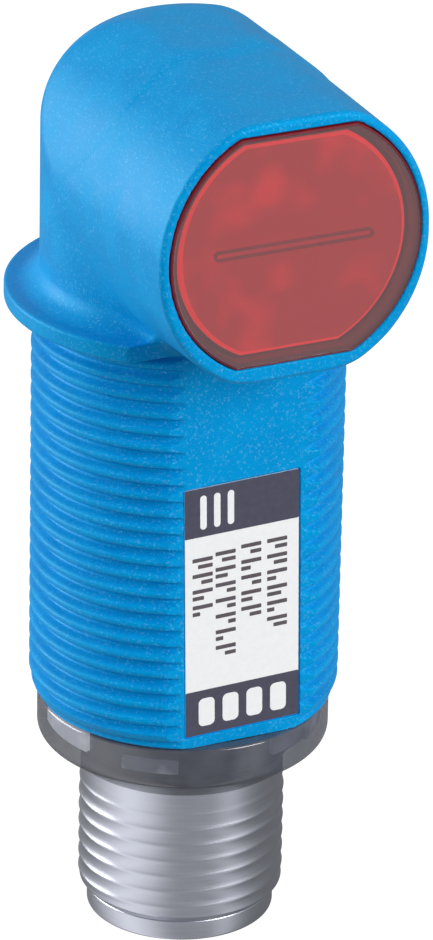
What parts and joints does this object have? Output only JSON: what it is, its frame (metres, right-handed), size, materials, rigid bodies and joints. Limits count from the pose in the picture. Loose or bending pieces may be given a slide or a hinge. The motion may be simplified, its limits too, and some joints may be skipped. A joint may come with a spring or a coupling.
{
  "type": "photoelectric sensor",
  "caption": "Photoelectric sensor with a threaded M18 plastic barrel, a right-angle head behind a flat red lens, and an M12 plug connector below.",
  "frame": {"origin": "on the barrel's axis, in the plane of the flange's underside, which is the face that seats on a panel or bracket", "axes": "+Z along the barrel's axis from the connector to the head, -Y out of the front lens along the optical axis, +X to the right as seen from in front of the lens"},
  "size_m": [0.021, 0.024, 0.0545],
  "materials": {
    "housing_blue": "moulded bright blue thermoplastic, satin, finely speckled",
    "label_white": "printed film label, satin white with dark bands",
    "lens_red": "polished transparent red acrylic",
    "holder_black": "matt black moulding",
    "clear_optic": "clear moulded optic",
    "polariser_grey": "grey polarising film",
    "board_green": "green solder resist on glass-fibre laminate",
    "chip_black": "moulded black component package",
    "tin_plate": "tin-plated sheet steel",
    "capacitor_tan": "moulded tan capacitor body",
    "lamp_red": "clear red lamp resin",
    "lamp_green": "clear green lamp resin",
    "lamp_yellow": "clear yellow lamp resin",
    "ring_smoke": "smoky translucent light-guide plastic",
    "nickel": "satin nickel-plated brass",
    "carrier_black": "moulded black insulating plastic",
    "gold": "gold-plated contact"
  },
  "bodies": {
    "root": {"housing": "housing_blue", "label": "label_white", "front_lens": "lens_red", "optics_holder": "holder_black", "emitter_lens": "clear_optic", "receiver_lens": "clear_optic", "emitter_polariser": "polariser_grey", "receiver_polariser": "polariser_grey", "optics_board": "board_green", "emitter_led": "lamp_red", "receiver_diode": "chip_black", "board_link": "chip_black", "main_board": "board_green", "signal_asic": "chip_black", "shield_can": "tin_plate", "microcontroller": "chip_black", "voltage_regulator": "chip_black", "output_driver": "chip_black", "surge_suppressor": "chip_black", "capacitor_input": "capacitor_tan", "capacitor_output": "capacitor_tan", "status_led_green": "lamp_green", "status_led_yellow": "lamp_yellow", "indicator_ring": "ring_smoke", "connector_sleeve": "nickel", "contact_carrier": "carrier_black", "contact_pin_1": "gold", "contact_pin_2": "gold", "contact_pin_3": "gold", "contact_pin_4": "gold"}
  },
  "joints": []
}
